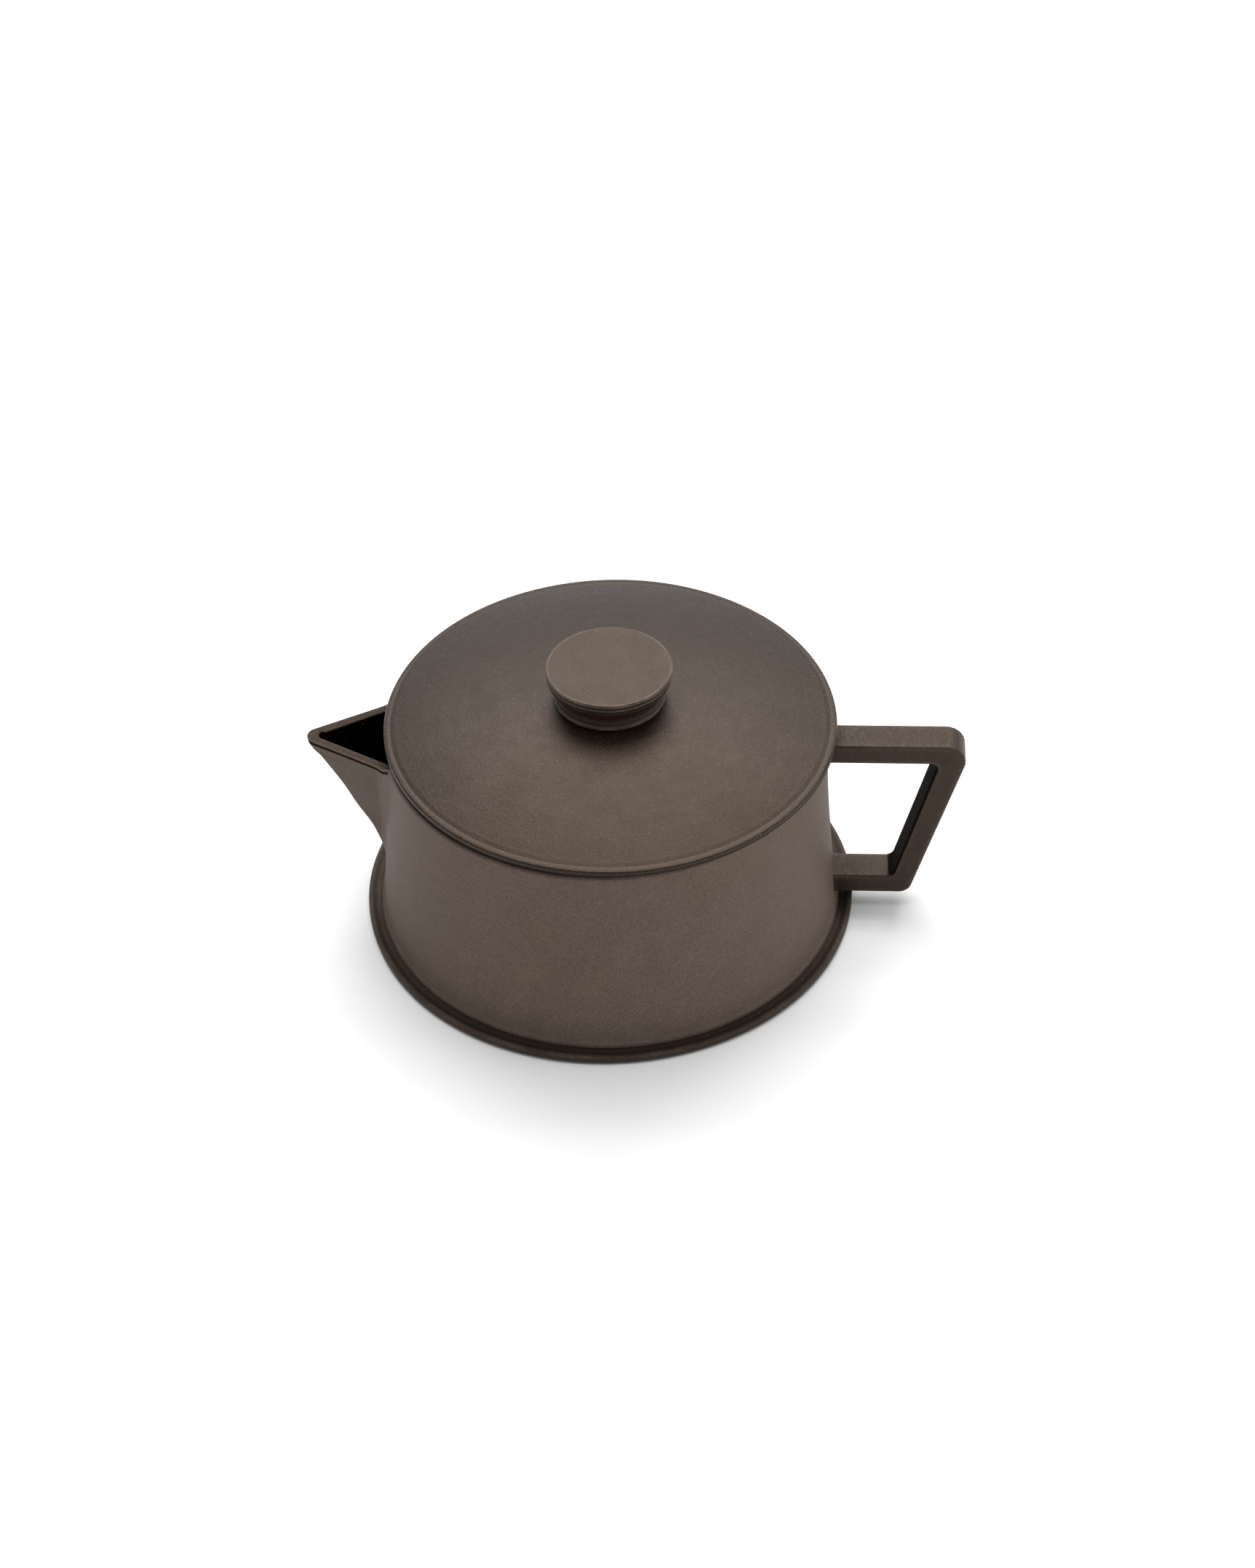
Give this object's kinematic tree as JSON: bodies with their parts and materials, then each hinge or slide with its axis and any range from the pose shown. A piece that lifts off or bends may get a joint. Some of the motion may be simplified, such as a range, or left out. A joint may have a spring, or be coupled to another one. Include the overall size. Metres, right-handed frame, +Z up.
{
  "type": "lidded pouring pot",
  "caption": "Low drum-shaped stoneware pot on a flanged foot, with an open V spout, an angular strap handle and a lift-off domed lid with a button knob.",
  "frame": {"origin": "centre of the foot's flat underside, on the drum's axis", "axes": "+Z up along the drum's axis, +X towards the handle, the spout is at -X"},
  "size_m": [0.2051, 0.1552, 0.094],
  "materials": {
    "wall_clay": "matte unglazed stoneware, fine light speckle",
    "trim_clay": "matte unglazed stoneware, darker, worn on its edges",
    "lid_clay": "matte unglazed stoneware, faint turning rings"
  },
  "bodies": {
    "pot": {"foot_disc": "trim_clay", "body_shell": "wall_clay", "spout": "wall_clay", "handle": "trim_clay"},
    "lid": {"lid_disc": "lid_clay", "lid_collar": "lid_clay", "lid_knob": "lid_clay"}
  },
  "joints": [
    {"name": "lid_lift", "type": "slide", "parent": "pot", "child": "lid", "axis": [0, 0, 1], "range_m": [0, 0.06]}
  ]
}
